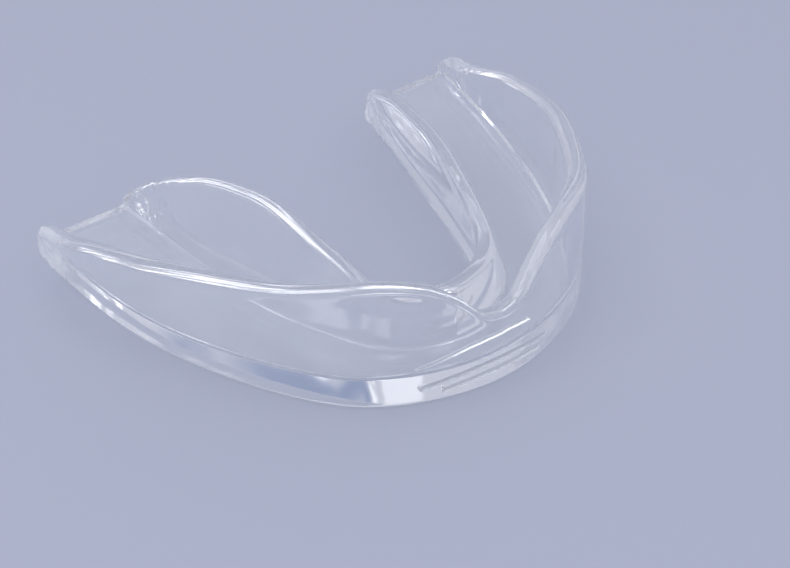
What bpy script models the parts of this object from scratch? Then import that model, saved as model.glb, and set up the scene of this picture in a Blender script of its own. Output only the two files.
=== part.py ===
"""Clear boil-and-bite mouthguard for the upper teeth, moulded in one piece.

A channel runs round a dental arch: a bite slab, an outer wall with a notch for the lip's
frenum, and an inner wall that is low behind the front teeth and tall beside the molars.
The front teeth face -Y, and the guard rests on its flat underside at Z = 0. The origin is
on that underside, in the middle of the guard's length and width.
"""

import math

import bmesh
import bpy
from mathutils import Matrix, Vector

MM = 0.001

# The outer wall's foot from the front centre to the right arm's end (x, y), in millimetres.
ARCH_POINTS = (
    (0.0, 0.0),
    (9.0, 1.9),
    (16.8, 7.1),
    (23.8, 18.7),
    (28.5, 32.8),
    (30.4, 45.0),
    (30.7, 50.2),
)

SLAB_THICKNESS = 2.75
OUTER_WALL_THICKNESS = 2.0
OUTER_RIM_WIDTH = 2.2
INNER_RIM_WIDTH = 1.95
RIM_ROUNDING = 0.8
FOOT_ROUNDING = 0.8
CHANNEL_FILLET = 1.2
END_ROUNDING = 0.8

# Profiles along one arm: (distance from the front centre along the foot, value in mm).
# Rim heights are above the underside, widths are across the channel.
OUTER_RIM_HEIGHT = (
    (0.0, 9.1),
    (2.6, 9.8),
    (5.1, 12.3),
    (9.0, 15.0),
    (15.5, 16.4),
    (25.0, 15.2),
    (37.0, 14.0),
    (50.0, 10.6),
    (59.0, 6.5),
    (64.8, 4.9),
)
INNER_RIM_HEIGHT = (
    (0.0, 7.8),
    (10.0, 8.0),
    (16.0, 8.6),
    (25.0, 10.8),
    (37.0, 13.5),
    (48.0, 12.3),
    (56.0, 9.3),
    (61.0, 6.5),
    (64.8, 4.7),
)
CHANNEL_WIDTH = (
    (0.0, 6.9),
    (9.0, 7.4),
    (18.5, 8.9),
    (32.0, 10.7),
    (47.0, 12.1),
    (59.0, 12.1),
    (64.8, 11.2),
)
INNER_WALL_BASE = (
    (0.0, 3.5),
    (24.0, 3.2),
    (40.0, 2.7),
    (58.0, 2.0),
    (64.8, 3.0),
)
OUTER_FLARE = (
    (0.0, -0.04),
    (24.0, 0.04),
    (40.0, 0.09),
    (54.0, 0.06),
    (64.8, 0.0),
)
INNER_LEAN = 0.29

# The underside is flat as far as FLAT_LENGTH along the foot, then the arms curve upwards.
FLAT_LENGTH = 42.0
ARM_LIFT = 2.4
LIFT_POWER = 1.5

# Near an arm's end the section turns, so that the end is cut off at a slant.
END_SLANT = math.radians(4)
SLANT_LENGTH = 16.0

# Each section squares up to the stretch of the foot this far to either side of it.
TURN_REACH = 4.5

# Each wall rounds down to the slab over this distance from the arm's end.
OUTER_WALL_RUNOUT = 3.2
INNER_WALL_RUNOUT = 4.2
LOWEST_WALL = 0.4

# Straight grooves in the underside behind the front teeth: (distance from the front, length).
GROOVES = ((4.3, 12.4), (6.6, 15.4))
GROOVE_WIDTH = 0.9
GROOVE_DEPTH = 0.4

STATION_SPACING = 2.4
NOTCH_SPACING = 1.3
NOTCH_REACH = 9.0
END_STATIONS = (4.3, 3.2, 2.2, 1.4, 0.8, 0.4, 0.15, 0.0)
ARC_SEGMENTS = 3
FOOT_SAMPLES = 600

CLEAR_COLOUR = (0.86, 0.88, 0.93, 1.0)
CLEAR_ROUGHNESS = 0.08
CLEAR_IOR = 1.49


def clear_scene():
    for obj in list(bpy.data.objects):
        bpy.data.objects.remove(obj, do_unlink=True)


def new_collection(name):
    collection = bpy.data.collections.new(name)
    bpy.context.scene.collection.children.link(collection)
    return collection


def smooth_through(stations, place):
    """The value at a place on a smooth curve through (place, value) stations."""
    last = len(stations) - 1
    place = min(max(place, stations[0][0]), stations[last][0])
    after = next(i for i in range(1, last + 1) if place <= stations[i][0])

    def slope(i):
        low, high = stations[max(i - 1, 0)], stations[min(i + 1, last)]
        return (high[1] - low[1]) / (high[0] - low[0])

    start, end = stations[after - 1], stations[after]
    span = end[0] - start[0]
    t = (place - start[0]) / span
    rise = end[1] - start[1]
    leaving = slope(after - 1) * span
    arriving = slope(after) * span
    squared = (3 * rise - 2 * leaving - arriving) * t**2
    cubed = (leaving + arriving - 2 * rise) * t**3
    return start[1] + leaving * t + squared + cubed


def both_arms(stations, sign=1):
    """The stations of one arm together with their mirror image on the other arm."""
    other_arm = [(-place, sign * value) for place, value in stations[:0:-1]]
    return other_arm + list(stations)


def foot_curve():
    """The right arm's outer foot as a list of (distance along it, point)."""
    chord = 0.0
    across, back = [], []
    previous = ARCH_POINTS[0]
    for x, y in ARCH_POINTS:
        chord += math.hypot(x - previous[0], y - previous[1])
        across.append((chord, x))
        back.append((chord, y))
        previous = (x, y)
    across = both_arms(across, sign=-1)
    back = both_arms(back)
    distance = 0.0
    curve = []
    for i in range(FOOT_SAMPLES + 1):
        at = chord * i / FOOT_SAMPLES
        point = Vector((smooth_through(across, at), smooth_through(back, at), 0))
        if curve:
            distance += (point - curve[-1][1]).length
        curve.append((distance, point))
    return curve


def foot_point(curve, distance):
    """The outer foot's point at a distance, on the left arm where that is below zero."""
    place = min(abs(distance), curve[-1][0])
    after = next(i for i in range(1, len(curve)) if place <= curve[i][0])
    (d0, p0), (d1, p1) = curve[after - 1], curve[after]
    point = p0.lerp(p1, (place - d0) / (d1 - d0))
    return Vector((-point.x, point.y, 0)) if distance < 0 else point


def across_channel(curve, distance):
    """The level direction from the outer foot across the channel."""
    ahead = foot_point(curve, distance + TURN_REACH)
    behind = foot_point(curve, distance - TURN_REACH)
    along = (ahead - behind).normalized()
    inward = Vector((-along.y, along.x, 0))
    from_end = curve[-1][0] - distance
    slant = END_SLANT * max(0.0, 1 - from_end / SLANT_LENGTH) ** 2
    return Matrix.Rotation(slant, 3, "Z") @ inward


def quarter_round(from_end, radius):
    """0 at the end, rising to 1 at a radius from it, like a quarter of a circle."""
    return math.sqrt(1 - max(0.0, 1 - from_end / radius) ** 2)


def rounded_outline(corners):
    """A closed outline of (u, z) points, with each (point, radius) corner made an arc."""
    outline = []
    for i, (corner, radius) in enumerate(corners):
        to_last = corners[i - 1][0] - corner
        to_next = corners[(i + 1) % len(corners)][0] - corner
        half_angle = to_last.angle(to_next) / 2
        longest = 0.47 * min(to_last.length, to_next.length)
        reach = min(radius / math.tan(half_angle), longest)
        middle = (to_last.normalized() + to_next.normalized()).normalized()
        centre = corner + middle * reach / math.cos(half_angle)
        start = corner + to_last.normalized() * reach - centre
        end = corner + to_next.normalized() * reach - centre
        for k in range(ARC_SEGMENTS + 1):
            spoke = start.slerp(end, k / ARC_SEGMENTS)
            outline.append(centre + spoke.normalized() * start.length)
    return outline


def section(distance, from_end):
    """The guard's outline across the arch: u inwards from the outer foot, z upwards."""
    lift_share = max(0.0, distance - FLAT_LENGTH) / (distance + from_end - FLAT_LENGTH)
    base = ARM_LIFT * lift_share**LIFT_POWER
    inset = END_ROUNDING * (1 - quarter_round(from_end, END_ROUNDING))

    def rim(profile, runout):
        above_slab = smooth_through(profile, distance) - SLAB_THICKNESS - LOWEST_WALL
        above_slab = LOWEST_WALL + above_slab * quarter_round(from_end, runout)
        return SLAB_THICKNESS + above_slab

    outer_rim = rim(OUTER_RIM_HEIGHT, OUTER_WALL_RUNOUT)
    inner_rim = rim(INNER_RIM_HEIGHT, INNER_WALL_RUNOUT)
    outer_edge = -smooth_through(OUTER_FLARE, distance) * outer_rim
    inner_foot = smooth_through(CHANNEL_WIDTH, distance)
    inner_edge = inner_foot + INNER_LEAN * (inner_rim - SLAB_THICKNESS)
    palate_foot = inner_foot + smooth_through(INNER_WALL_BASE, distance)
    floor = base + SLAB_THICKNESS - inset
    outer_top = base + outer_rim - inset
    inner_top = base + inner_rim - inset
    return rounded_outline(
        (
            (Vector((inset, base + inset)), FOOT_ROUNDING),
            (Vector((outer_edge + inset, outer_top)), RIM_ROUNDING),
            (Vector((outer_edge + OUTER_RIM_WIDTH - inset, outer_top)), RIM_ROUNDING),
            (Vector((OUTER_WALL_THICKNESS - inset, floor)), CHANNEL_FILLET),
            (Vector((inner_foot + inset, floor)), CHANNEL_FILLET),
            (Vector((inner_edge + inset, inner_top)), RIM_ROUNDING),
            (Vector((inner_edge + INNER_RIM_WIDTH - inset, inner_top)), RIM_ROUNDING),
            (Vector((palate_foot - inset, base + inset)), FOOT_ROUNDING),
        )
    )


def station_distances(half_length):
    """Places along one arm, closer together at the notch and at the rounded end."""
    distances = []
    distance = 0.0
    while distance < half_length - END_STATIONS[0]:
        distances.append(distance)
        distance += NOTCH_SPACING if distance < NOTCH_REACH else STATION_SPACING
    return distances + [half_length - from_end for from_end in END_STATIONS]


def tray_mesh():
    """The tray as a loft of its sections from the left arm's end to the right arm's."""
    curve = foot_curve()
    half_length = curve[-1][0]
    arm = []
    for distance in station_distances(half_length):
        foot = foot_point(curve, distance)
        inward = across_channel(curve, distance)
        outline = section(distance, half_length - distance)
        arm.append([foot + inward * p.x + Vector((0, 0, p.y)) for p in outline])
    mirror = Matrix.Diagonal((-1, 1, 1))
    rings = [[mirror @ p for p in ring] for ring in arm[:0:-1]] + arm
    depths = [p.y for ring in rings for p in ring]
    middle = Vector((0, (min(depths) + max(depths)) / 2, 0))

    bm = bmesh.new()
    loops = [[bm.verts.new((p - middle) * MM) for p in ring] for ring in rings]
    for left, right in zip(loops, loops[1:]):
        for i in range(len(left)):
            bm.faces.new((left[i - 1], left[i], right[i], right[i - 1]))
    bm.faces.new(loops[0])
    bm.faces.new(loops[-1])
    bmesh.ops.recalc_face_normals(bm, faces=bm.faces)
    mesh = bpy.data.meshes.new("mouthguard")
    bm.to_mesh(mesh)
    bm.free()
    mesh.shade_smooth()
    mesh.set_sharp_from_angle(angle=math.radians(40))
    return mesh, middle.y


def clear_material():
    material = bpy.data.materials.new("clear_eva")
    material.use_nodes = True
    shader = material.node_tree.nodes["Principled BSDF"]
    shader.inputs["Base Color"].default_value = CLEAR_COLOUR
    shader.inputs["Roughness"].default_value = CLEAR_ROUGHNESS
    shader.inputs["Metallic"].default_value = 0.0
    shader.inputs["IOR"].default_value = CLEAR_IOR
    shader.inputs["Transmission Weight"].default_value = 1.0
    return material


def cut_groove(tray, cutters, index, from_front, length, middle_y):
    """Cuts one straight groove into the underside, parallel to X."""
    bm = bmesh.new()
    bmesh.ops.create_cube(bm, size=1)
    size = Vector((length, GROOVE_WIDTH, 2 * GROOVE_DEPTH)) * MM
    bmesh.ops.scale(bm, vec=size, verts=bm.verts)
    mesh = bpy.data.meshes.new(f"groove_{index}")
    bm.to_mesh(mesh)
    bm.free()
    cutter = bpy.data.objects.new(f"groove_{index}", mesh)
    cutter.location = (0, (from_front - middle_y) * MM, 0)
    cutter.hide_render = True
    cutter.display_type = "WIRE"
    cutters.objects.link(cutter)
    cut = tray.modifiers.new(f"groove_{index}", "BOOLEAN")
    cut.operation = "DIFFERENCE"
    cut.solver = "EXACT"
    cut.object = cutter


def main():
    clear_scene()
    parts = new_collection("mouthguard")
    cutters = new_collection("cutters")
    mesh, middle_y = tray_mesh()
    tray = bpy.data.objects.new("mouthguard", mesh)
    tray.data.materials.append(clear_material())
    parts.objects.link(tray)
    for index, (from_front, length) in enumerate(GROOVES, start=1):
        cut_groove(tray, cutters, index, from_front, length, middle_y)


main()
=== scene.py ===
"""The look of the clear mouthguard: its finely lofted moulding, clear plastic, table and light.

The moulding is lofted from the same sections as the CAD solid that it stands for, with many
more points, and adds what only the eye needs: the pebbled ends of the arms and the slight
waves of a moulded surface.
"""

import math

import bmesh
import bpy
from mathutils import Matrix, Vector, noise


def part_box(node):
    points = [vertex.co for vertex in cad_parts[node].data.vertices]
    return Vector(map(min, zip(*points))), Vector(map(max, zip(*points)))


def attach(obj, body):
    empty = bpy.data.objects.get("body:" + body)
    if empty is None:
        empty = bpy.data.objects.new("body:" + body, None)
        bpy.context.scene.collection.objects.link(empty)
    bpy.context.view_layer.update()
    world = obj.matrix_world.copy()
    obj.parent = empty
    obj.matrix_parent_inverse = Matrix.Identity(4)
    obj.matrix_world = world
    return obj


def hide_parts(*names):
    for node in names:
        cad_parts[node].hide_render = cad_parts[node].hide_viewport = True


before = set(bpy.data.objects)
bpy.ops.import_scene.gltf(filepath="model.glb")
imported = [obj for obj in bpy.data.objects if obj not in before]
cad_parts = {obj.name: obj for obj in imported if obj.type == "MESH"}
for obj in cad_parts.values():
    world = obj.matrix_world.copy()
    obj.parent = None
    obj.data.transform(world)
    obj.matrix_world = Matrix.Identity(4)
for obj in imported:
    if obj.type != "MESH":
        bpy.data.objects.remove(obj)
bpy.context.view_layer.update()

MM = 0.001
NODE = "mouthguard"

# ---------------------------------------------------------------- the moulding's dimensions

# The outer wall's foot from the front centre to the right arm's end (x, y), in millimetres.
ARCH_POINTS = (
    (0.0, 0.0),
    (9.0, 1.9),
    (16.8, 7.1),
    (23.8, 18.7),
    (28.5, 32.8),
    (30.4, 45.0),
    (30.7, 50.2),
)

SLAB_THICKNESS = 2.75
OUTER_WALL_THICKNESS = 2.0
OUTER_RIM_WIDTH = 2.2
INNER_RIM_WIDTH = 1.95
RIM_ROUNDING = 0.95
FOOT_ROUNDING = 0.8
CHANNEL_FILLET = 1.2
PALATE_FILLET = 0.7
END_ROUNDING = 0.8

# Profiles along one arm: (distance from the front centre along the foot, value in mm).
OUTER_RIM_HEIGHT = (
    (0.0, 9.1),
    (2.6, 9.8),
    (5.1, 12.3),
    (9.0, 15.0),
    (15.5, 16.4),
    (25.0, 15.2),
    (37.0, 14.0),
    (50.0, 10.6),
    (59.0, 6.5),
    (64.8, 4.9),
)
INNER_RIM_HEIGHT = (
    (0.0, 7.8),
    (10.0, 8.0),
    (16.0, 8.6),
    (25.0, 10.8),
    (37.0, 13.5),
    (48.0, 12.3),
    (56.0, 9.3),
    (61.0, 6.5),
    (64.8, 4.7),
)
CHANNEL_WIDTH = (
    (0.0, 6.9),
    (9.0, 7.4),
    (18.5, 8.9),
    (32.0, 10.7),
    (47.0, 12.1),
    (59.0, 12.1),
    (64.8, 11.2),
)
INNER_WALL_BASE = (
    (0.0, 3.5),
    (24.0, 3.2),
    (40.0, 2.7),
    (58.0, 2.0),
    (64.8, 3.0),
)
OUTER_FLARE = (
    (0.0, -0.04),
    (24.0, 0.04),
    (40.0, 0.09),
    (54.0, 0.06),
    (64.8, 0.0),
)
INNER_LEAN = 0.29

FLAT_LENGTH = 42.0
ARM_LIFT = 2.4
LIFT_POWER = 1.5
END_SLANT = math.radians(4)
SLANT_LENGTH = 16.0
TURN_REACH = 4.5
OUTER_WALL_RUNOUT = 3.2
INNER_WALL_RUNOUT = 4.2
LOWEST_WALL = 0.4

# Straight grooves in the underside: (distance from the front, length).
GROOVES = ((4.3, 12.4), (6.6, 15.4))
# Their cutter reaches as far below the guard as above, and is this wide at its foot. Each of
# its sides slopes in by this much on the way up to its top, the groove's roof.
GROOVE_WIDTH = 0.9
GROOVE_DEPTH = 0.4
GROOVE_SLOPE = 0.2
# A face of a groove whose normal is nearer the vertical than this is its roof.
ROOF_NORMAL = 0.95

# ---------------------------------------------------------------- how finely it is made

STATION_SPACING = 0.3
END_STATIONS = (1.6, 1.2, 0.9, 0.7, 0.5, 0.35, 0.22, 0.12, 0.05, 0.015, 0.0)
ARC_SEGMENTS = 6
# The most of a straight side that the arc at one end of it may take.
ARC_SHARE = 0.47
SHARP_ANGLE = math.radians(40)
# Steps along each straight side of the section, from the outer face round to the underside.
SIDE_STEPS = (18, 2, 14, 12, 12, 2, 14, 14)
FOOT_SAMPLES = 900

# The pebbled ends of the arms: full up to one distance from the end, gone at another (mm).
PEBBLE_FULL = 4.0
PEBBLE_REACH = 8.5
PEBBLE_SIZE = 1.2
PEBBLE_HEIGHT = 0.15
# A pebble's radius, as a share of the spacing.
PEBBLE_RADIUS = 0.55

# ---------------------------------------------------------------- the view and the studio

CAMERA_AZIMUTH = math.radians(-34.54)
CAMERA_ELEVATION = math.radians(37.32)
CAMERA_ROLL = math.radians(-2.85)
CAMERA_DISTANCE = 0.2090
CAMERA_LENS = 86.5
CAMERA_SENSOR = 36.0
CAMERA_NEAR = 0.01
# The camera's aim, from the middle of the guard's front foot.
CAMERA_AIM = Vector((-5.3, 12.9, 8.0)) * MM

FLOOR_SIZE = 1.6
# The table lies just below the guard, so that the two don't share a plane.
FLOOR_GAP = 0.00005
TABLE_COLOUR = (0.47, 0.495, 0.585, 1.0)
TABLE_ROUGHNESS = 0.55

PLASTIC_COLOUR = (0.99, 0.993, 1.0, 1.0)
PLASTIC_IOR = 1.49
# The plastic's outer skin is very slightly milky, and more so where it is pebbled.
SKIN_CLARITY = 0.9
PEBBLE_CLARITY = 0.55
PEBBLE_ROUGHNESS = 0.12
# The grooves' sides are matt, and show white from above and below.
GROOVE_CLARITY = 0.6
# The slight waves of the moulded surface, which also vary its gloss.
WAVE_SCALE = 110.0
WAVE_DETAIL = 2.0
WAVE_STRENGTH = 0.1
WAVE_HEIGHT = 0.0004
LEAST_ROUGHNESS = 0.02
MOST_ROUGHNESS = 0.09
SHADOW_COLOUR = (0.77, 0.78, 0.80, 1.0)

# The light tent's walls, and the direction and angular radius of its darker side.
WALL_COLOUR = (0.56, 0.58, 0.68, 1.0)
DARK_WALL_COLOUR = (0.19, 0.25, 0.42, 1.0)
DARK_SIDE = (-0.55, 0.53, 0.64)
DARK_SIDE_SPREAD = math.radians(26)
# The softboxes: (name, azimuth, elevation, (width, height) in metres, watts). Each is aimed at
# the guard. Azimuth 0 is in front, at -Y.
SOFTBOXES = (
    ("key", -97, 60, (0.7, 0.42), 1.7),
    ("window", -111, 37, (0.18, 0.17), 0.2),
    ("fill", 28, 56, (0.35, 0.35), 0.7),
    ("back", 158, 40, (0.22, 0.17), 0.035),
    ("side", -88, 13, (0.5, 0.25), 0.12),
)
SOFTBOX_DISTANCE = 0.8
# Light is caught and reflected many times inside the clear rims.
LIGHT_BOUNCES = 32


def smooth_through(stations, place):
    """The value at a place on a smooth curve through (place, value) stations."""
    last = len(stations) - 1
    place = min(max(place, stations[0][0]), stations[last][0])
    after = next(i for i in range(1, last + 1) if place <= stations[i][0])

    def slope(i):
        low, high = stations[max(i - 1, 0)], stations[min(i + 1, last)]
        return (high[1] - low[1]) / (high[0] - low[0])

    start, end = stations[after - 1], stations[after]
    span = end[0] - start[0]
    t = (place - start[0]) / span
    rise = end[1] - start[1]
    leaving = slope(after - 1) * span
    arriving = slope(after) * span
    squared = (3 * rise - 2 * leaving - arriving) * t**2
    cubed = (leaving + arriving - 2 * rise) * t**3
    return start[1] + leaving * t + squared + cubed


def both_arms(stations, sign=1):
    """The stations of one arm together with their mirror image on the other arm."""
    other_arm = [(-place, sign * value) for place, value in stations[:0:-1]]
    return other_arm + list(stations)


def foot_curve():
    """The right arm's outer foot as a list of (distance along it, point)."""
    chord = 0.0
    across, back = [], []
    previous = ARCH_POINTS[0]
    for x, y in ARCH_POINTS:
        chord += math.hypot(x - previous[0], y - previous[1])
        across.append((chord, x))
        back.append((chord, y))
        previous = (x, y)
    across = both_arms(across, sign=-1)
    back = both_arms(back)
    distance = 0.0
    curve = []
    for i in range(FOOT_SAMPLES + 1):
        at = chord * i / FOOT_SAMPLES
        point = Vector((smooth_through(across, at), smooth_through(back, at), 0))
        if curve:
            distance += (point - curve[-1][1]).length
        curve.append((distance, point))
    return curve


def foot_point(curve, distance):
    """The outer foot's point at a distance, on the left arm where that is below zero."""
    place = min(abs(distance), curve[-1][0])
    after = next(i for i in range(1, len(curve)) if place <= curve[i][0])
    (d0, p0), (d1, p1) = curve[after - 1], curve[after]
    point = p0.lerp(p1, (place - d0) / (d1 - d0))
    return Vector((-point.x, point.y, 0)) if distance < 0 else point


def across_channel(curve, distance):
    """The level direction from the outer foot across the channel."""
    ahead = foot_point(curve, distance + TURN_REACH)
    behind = foot_point(curve, distance - TURN_REACH)
    along = (ahead - behind).normalized()
    inward = Vector((-along.y, along.x, 0))
    from_end = curve[-1][0] - distance
    slant = END_SLANT * max(0.0, 1 - from_end / SLANT_LENGTH) ** 2
    return Matrix.Rotation(slant, 3, "Z") @ inward


def quarter_round(from_end, radius):
    """0 at the end, rising to 1 at a radius from it, like a quarter of a circle."""
    return math.sqrt(1 - max(0.0, 1 - from_end / radius) ** 2)


def rounded_outline(corners):
    """A closed outline of (u, z) points, with each (point, radius) corner made an arc."""
    arcs = []
    for i, (corner, radius) in enumerate(corners):
        to_last = corners[i - 1][0] - corner
        to_next = corners[(i + 1) % len(corners)][0] - corner
        half_angle = to_last.angle(to_next) / 2
        longest = ARC_SHARE * min(to_last.length, to_next.length)
        reach = min(radius / math.tan(half_angle), longest)
        middle = (to_last.normalized() + to_next.normalized()).normalized()
        centre = corner + middle * reach / math.cos(half_angle)
        start = corner + to_last.normalized() * reach - centre
        end = corner + to_next.normalized() * reach - centre
        arc = []
        for k in range(ARC_SEGMENTS + 1):
            spoke = start.slerp(end, k / ARC_SEGMENTS)
            arc.append(centre + spoke.normalized() * start.length)
        arcs.append(arc)
    outline = []
    for i, (arc, steps) in enumerate(zip(arcs, SIDE_STEPS)):
        outline += arc
        following = arcs[(i + 1) % len(arcs)][0]
        outline += [arc[-1].lerp(following, k / steps) for k in range(1, steps)]
    return outline


def section(distance, from_end):
    """The guard's outline across the arch: u inwards from the outer foot, z upwards."""
    lift_share = max(0.0, distance - FLAT_LENGTH) / (distance + from_end - FLAT_LENGTH)
    base = ARM_LIFT * lift_share**LIFT_POWER
    inset = END_ROUNDING * (1 - quarter_round(from_end, END_ROUNDING))

    def rim(profile, runout):
        above_slab = smooth_through(profile, distance) - SLAB_THICKNESS - LOWEST_WALL
        above_slab = LOWEST_WALL + above_slab * quarter_round(from_end, runout)
        return SLAB_THICKNESS + above_slab

    outer_rim = rim(OUTER_RIM_HEIGHT, OUTER_WALL_RUNOUT)
    inner_rim = rim(INNER_RIM_HEIGHT, INNER_WALL_RUNOUT)
    outer_edge = -smooth_through(OUTER_FLARE, distance) * outer_rim
    inner_foot = smooth_through(CHANNEL_WIDTH, distance)
    inner_edge = inner_foot + INNER_LEAN * (inner_rim - SLAB_THICKNESS)
    palate_foot = inner_foot + smooth_through(INNER_WALL_BASE, distance)
    floor = base + SLAB_THICKNESS - inset
    outer_top = base + outer_rim - inset
    inner_top = base + inner_rim - inset
    return rounded_outline(
        (
            (Vector((inset, base + inset)), FOOT_ROUNDING),
            (Vector((outer_edge + inset, outer_top)), RIM_ROUNDING),
            (Vector((outer_edge + OUTER_RIM_WIDTH - inset, outer_top)), RIM_ROUNDING),
            (Vector((OUTER_WALL_THICKNESS - inset, floor)), CHANNEL_FILLET),
            (Vector((inner_foot + inset, floor)), PALATE_FILLET),
            (Vector((inner_edge + inset, inner_top)), RIM_ROUNDING),
            (Vector((inner_edge + INNER_RIM_WIDTH - inset, inner_top)), RIM_ROUNDING),
            (Vector((palate_foot - inset, base + inset)), FOOT_ROUNDING),
        )
    )


def station_distances(half_length):
    """Places along one arm, closer together at the rounded end."""
    count = round((half_length - END_STATIONS[0]) / STATION_SPACING)
    even = [(half_length - END_STATIONS[0]) * i / count for i in range(count)]
    return even + [half_length - from_end for from_end in END_STATIONS]


def moulding():
    """The fine moulding as one closed mesh, placed on the CAD solid that it stands for."""
    curve = foot_curve()
    half_length = curve[-1][0]
    arm = []
    for distance in station_distances(half_length):
        foot = foot_point(curve, distance)
        inward = across_channel(curve, distance)
        outline = section(distance, half_length - distance)
        arm.append([foot + inward * p.x + Vector((0, 0, p.y)) for p in outline])
    mirror = Matrix.Diagonal((-1, 1, 1))
    rings = [[mirror @ p for p in ring] for ring in arm[:0:-1]] + arm
    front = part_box(NODE)[0].y
    bm = bmesh.new()
    loops = [
        [bm.verts.new(p * MM + Vector((0, front, 0))) for p in ring] for ring in rings
    ]
    for left, right in zip(loops, loops[1:]):
        for i in range(len(left)):
            bm.faces.new((left[i - 1], left[i], right[i], right[i - 1]))
    bm.faces.new(loops[0])
    bm.faces.new(loops[-1])
    bmesh.ops.recalc_face_normals(bm, faces=bm.faces)
    mesh = bpy.data.meshes.new("clear_moulding")
    bm.to_mesh(mesh)
    bm.free()
    pebble_ends(mesh)
    piece = bpy.data.objects.new("clear_moulding", mesh)
    bpy.context.scene.collection.objects.link(piece)
    for index, (from_front, length) in enumerate(GROOVES, start=1):
        cut_groove(piece, index, front + from_front * MM, length)
    frost_grooves(piece.data)
    piece.data.shade_smooth()
    piece.data.set_sharp_from_angle(angle=SHARP_ANGLE)
    return piece


def frost_grooves(mesh):
    """Marks the sloping sides of the grooves, which are matt."""
    frosted = mesh.attributes.new("groove_frost", "FLOAT", "FACE")
    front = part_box(NODE)[0].y
    nearest = front + (GROOVES[0][0] - GROOVE_WIDTH) * MM
    farthest = front + (GROOVES[-1][0] + GROOVE_WIDTH) * MM
    half_length = GROOVES[-1][1] * MM / 2
    for face in mesh.polygons:
        place = face.center
        sloping = 0 < place.z < GROOVE_DEPTH * MM and abs(face.normal.z) < ROOF_NORMAL
        if sloping and nearest < place.y < farthest and abs(place.x) < half_length:
            frosted.data[face.index].value = 1.0


def outward_points():
    """The outline's places on its outer and palatal faces, and how many places it has."""
    starts = [0]
    for steps in SIDE_STEPS:
        starts.append(starts[-1] + ARC_SEGMENTS + steps)
    outer_foot, outer_rim, *_, palatal_rim, palatal_foot, ring_size = starts
    outer = range(outer_foot, outer_rim + ARC_SEGMENTS)
    palatal = range(palatal_rim, palatal_foot + ARC_SEGMENTS)
    return set(outer) | set(palatal), ring_size


def pebble_ends(mesh):
    """Raises the pebbled texture that the mould left on the outsides of the arms' ends."""
    end = max(vertex.co.y for vertex in mesh.vertices)
    outward, ring_size = outward_points()
    frosted = mesh.attributes.new("frosted", "FLOAT", "POINT")
    raised = []
    for vertex in mesh.vertices:
        if vertex.index % ring_size not in outward:
            raised.append(vertex.co.copy())
            continue
        from_end = (end - vertex.co.y) / MM
        share = 1 - (from_end - PEBBLE_FULL) / (PEBBLE_REACH - PEBBLE_FULL)
        share = min(max(share, 0.0), 1.0)
        nearest = noise.voronoi(vertex.co / (PEBBLE_SIZE * MM))[0][0]
        height = PEBBLE_HEIGHT * share * max(0.0, 1 - (nearest / PEBBLE_RADIUS) ** 2)
        raised.append(vertex.co + vertex.normal * height * MM)
        frosted.data[vertex.index].value = share
    for vertex, place in zip(mesh.vertices, raised):
        vertex.co = place


def cut_groove(piece, index, y, length):
    """Cuts one straight groove into the underside, parallel to X."""
    bm = bmesh.new()
    bmesh.ops.create_cube(bm, size=1)
    size = Vector((length, GROOVE_WIDTH, 2 * GROOVE_DEPTH)) * MM
    bmesh.ops.scale(bm, vec=size, verts=bm.verts)
    for vert in bm.verts:
        if vert.co.z > 0:
            vert.co.x -= math.copysign(GROOVE_SLOPE * MM, vert.co.x)
            vert.co.y -= math.copysign(GROOVE_SLOPE * MM, vert.co.y)
    mesh = bpy.data.meshes.new(f"groove_{index}")
    bm.to_mesh(mesh)
    bm.free()
    cutter = bpy.data.objects.new(f"groove_{index}", mesh)
    cutter.location = (0, y, 0)
    bpy.context.scene.collection.objects.link(cutter)
    cut = piece.modifiers.new(f"groove_{index}", "BOOLEAN")
    cut.operation = "DIFFERENCE"
    cut.solver = "EXACT"
    cut.object = cutter
    graph = bpy.context.evaluated_depsgraph_get()
    cut_mesh = bpy.data.meshes.new_from_object(piece.evaluated_get(graph))
    piece.modifiers.clear()
    piece.data = cut_mesh
    bpy.data.objects.remove(cutter)


# ---------------------------------------------------------------- materials


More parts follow.
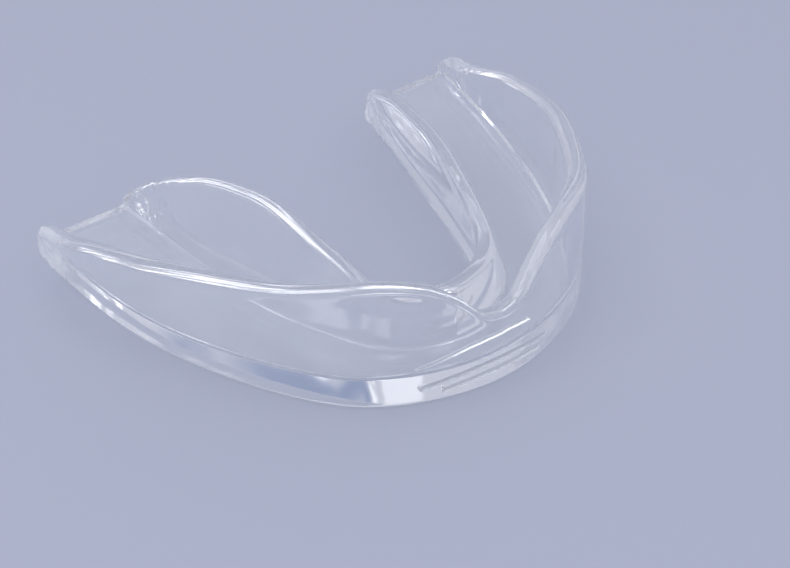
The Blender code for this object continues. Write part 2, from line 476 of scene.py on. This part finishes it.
def clear_plastic():
    """Clear EVA, milky on its outer skin, with pebbled ends and matt sides to its grooves."""
    material = bpy.data.materials.new("clear_eva")
    material.use_nodes = True
    nodes = material.node_tree.nodes
    links = material.node_tree.links
    shader = nodes["Principled BSDF"]
    shader.inputs["Base Color"].default_value = PLASTIC_COLOUR
    shader.inputs["IOR"].default_value = PLASTIC_IOR
    coordinates = nodes.new("ShaderNodeTexCoord")
    waves = nodes.new("ShaderNodeTexNoise")
    waves.inputs["Scale"].default_value = WAVE_SCALE
    waves.inputs["Detail"].default_value = WAVE_DETAIL
    links.new(coordinates.outputs["Object"], waves.inputs["Vector"])
    bump = nodes.new("ShaderNodeBump")
    bump.inputs["Strength"].default_value = WAVE_STRENGTH
    bump.inputs["Distance"].default_value = WAVE_HEIGHT
    links.new(waves.outputs["Fac"], bump.inputs["Height"])
    links.new(bump.outputs["Normal"], shader.inputs["Normal"])
    gloss = nodes.new("ShaderNodeMapRange")
    gloss.inputs["To Min"].default_value = LEAST_ROUGHNESS
    gloss.inputs["To Max"].default_value = MOST_ROUGHNESS
    links.new(waves.outputs["Fac"], gloss.inputs["Value"])
    frosted = nodes.new("ShaderNodeAttribute")
    frosted.attribute_name = "frosted"
    grooves = nodes.new("ShaderNodeAttribute")
    grooves.attribute_name = "groove_frost"
    rough = nodes.new("ShaderNodeMix")
    rough.inputs["B"].default_value = PEBBLE_ROUGHNESS
    links.new(frosted.outputs["Fac"], rough.inputs["Factor"])
    links.new(gloss.outputs["Result"], rough.inputs["A"])
    links.new(rough.outputs["Result"], shader.inputs["Roughness"])
    clear = nodes.new("ShaderNodeMix")
    clear.inputs["A"].default_value = SKIN_CLARITY
    clear.inputs["B"].default_value = PEBBLE_CLARITY
    links.new(frosted.outputs["Fac"], clear.inputs["Factor"])
    geometry = nodes.new("ShaderNodeNewGeometry")
    inside = nodes.new("ShaderNodeMath")
    inside.operation = "MAXIMUM"
    links.new(clear.outputs["Result"], inside.inputs[0])
    links.new(geometry.outputs["Backfacing"], inside.inputs[1])
    whole = nodes.new("ShaderNodeMix")
    whole.inputs["B"].default_value = GROOVE_CLARITY
    links.new(grooves.outputs["Fac"], whole.inputs["Factor"])
    links.new(inside.outputs["Value"], whole.inputs["A"])
    links.new(whole.outputs["Result"], shader.inputs["Transmission Weight"])
    add_clear_shadow(material)
    return material


def add_clear_shadow(material):
    """Lets most of the light through, so that the plastic casts only a faint shadow."""
    nodes = material.node_tree.nodes
    links = material.node_tree.links
    rays = nodes.new("ShaderNodeLightPath")
    passing = nodes.new("ShaderNodeBsdfTransparent")
    passing.inputs["Color"].default_value = SHADOW_COLOUR
    mix = nodes.new("ShaderNodeMixShader")
    links.new(rays.outputs["Is Shadow Ray"], mix.inputs["Fac"])
    links.new(nodes["Principled BSDF"].outputs["BSDF"], mix.inputs[1])
    links.new(passing.outputs["BSDF"], mix.inputs[2])
    links.new(mix.outputs["Shader"], nodes["Material Output"].inputs["Surface"])


def table_material():
    """The plain, pale, slightly glossy table."""
    material = bpy.data.materials.new("pale_table")
    material.use_nodes = True
    shader = material.node_tree.nodes["Principled BSDF"]
    shader.inputs["Base Color"].default_value = TABLE_COLOUR
    shader.inputs["Roughness"].default_value = TABLE_ROUGHNESS
    return material


# ---------------------------------------------------------------- stage


def add_floor():
    """The table, which is stage and not part of the object."""
    bm = bmesh.new()
    bmesh.ops.create_grid(bm, x_segments=1, y_segments=1, size=FLOOR_SIZE / 2)
    mesh = bpy.data.meshes.new("table")
    bm.to_mesh(mesh)
    bm.free()
    floor = bpy.data.objects.new("table", mesh)
    floor.data.materials.append(table_material())
    bpy.context.scene.collection.objects.link(floor)
    floor.location.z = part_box(NODE)[0].z - FLOOR_GAP


def add_camera():
    """The camera, turned round the guard and aimed near its middle."""
    front = Vector((0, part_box(NODE)[0].y, 0))
    turn = Matrix.Rotation(CAMERA_AZIMUTH, 4, "Z")
    tilt = Matrix.Rotation(math.pi / 2 - CAMERA_ELEVATION, 4, "X")
    roll = Matrix.Rotation(CAMERA_ROLL, 4, "Z")
    data = bpy.data.cameras.new("camera")
    data.lens = CAMERA_LENS
    data.sensor_width = CAMERA_SENSOR
    data.sensor_fit = "HORIZONTAL"
    data.clip_start = CAMERA_NEAR
    camera = bpy.data.objects.new("camera", data)
    rotation = turn @ tilt @ roll
    back = rotation @ Vector((0, 0, 1))
    place = front + CAMERA_AIM + back * CAMERA_DISTANCE
    camera.matrix_world = Matrix.Translation(place) @ rotation
    bpy.context.scene.collection.objects.link(camera)
    bpy.context.scene.camera = camera


def add_softbox(name, azimuth, elevation, size, power):
    """A rectangular light to one side of the guard, aimed at it."""
    data = bpy.data.lights.new(name, "AREA")
    data.shape = "RECTANGLE"
    data.size, data.size_y = size
    data.energy = power
    light = bpy.data.objects.new(name, data)
    turn = Matrix.Rotation(math.radians(azimuth), 4, "Z")
    tilt = Matrix.Rotation(math.radians(90 - elevation), 4, "X")
    rotation = turn @ tilt
    place = rotation @ Vector((0, 0, SOFTBOX_DISTANCE))
    light.matrix_world = Matrix.Translation(place) @ rotation
    bpy.context.scene.collection.objects.link(light)


def studio_walls():
    """The even, pale walls of the light tent, with one darker side behind the left arm."""
    world = bpy.data.worlds.new("studio")
    world.use_nodes = True
    nodes = world.node_tree.nodes
    links = world.node_tree.links
    background = nodes["Background"]
    direction = nodes.new("ShaderNodeTexCoord")
    towards = nodes.new("ShaderNodeVectorMath")
    towards.operation = "DOT_PRODUCT"
    towards.inputs[1].default_value = DARK_SIDE
    links.new(direction.outputs["Generated"], towards.inputs[0])
    shade = nodes.new("ShaderNodeMapRange")
    shade.interpolation_type = "SMOOTHSTEP"
    shade.inputs["From Min"].default_value = math.cos(DARK_SIDE_SPREAD)
    shade.inputs["From Max"].default_value = 1.0
    links.new(towards.outputs["Value"], shade.inputs["Value"])
    mix = nodes.new("ShaderNodeMix")
    mix.data_type = "RGBA"
    mix.inputs["A"].default_value = WALL_COLOUR
    mix.inputs["B"].default_value = DARK_WALL_COLOUR
    links.new(shade.outputs["Result"], mix.inputs["Factor"])
    links.new(mix.outputs["Result"], background.inputs["Color"])
    bpy.context.scene.world = world


def light_studio():
    """The tent, its softboxes, and enough bounces for clear plastic."""
    studio_walls()
    for softbox in SOFTBOXES:
        add_softbox(*softbox)
    scene = bpy.context.scene
    scene.view_settings.view_transform = "Standard"
    scene.cycles.max_bounces = LIGHT_BOUNCES
    scene.cycles.glossy_bounces = LIGHT_BOUNCES
    scene.cycles.transmission_bounces = LIGHT_BOUNCES


# ---------------------------------------------------------------- build

add_camera()
add_floor()
light_studio()

guard = moulding()
guard.data.materials.clear()
guard.data.materials.append(clear_plastic())
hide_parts(NODE)
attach(guard, "root")
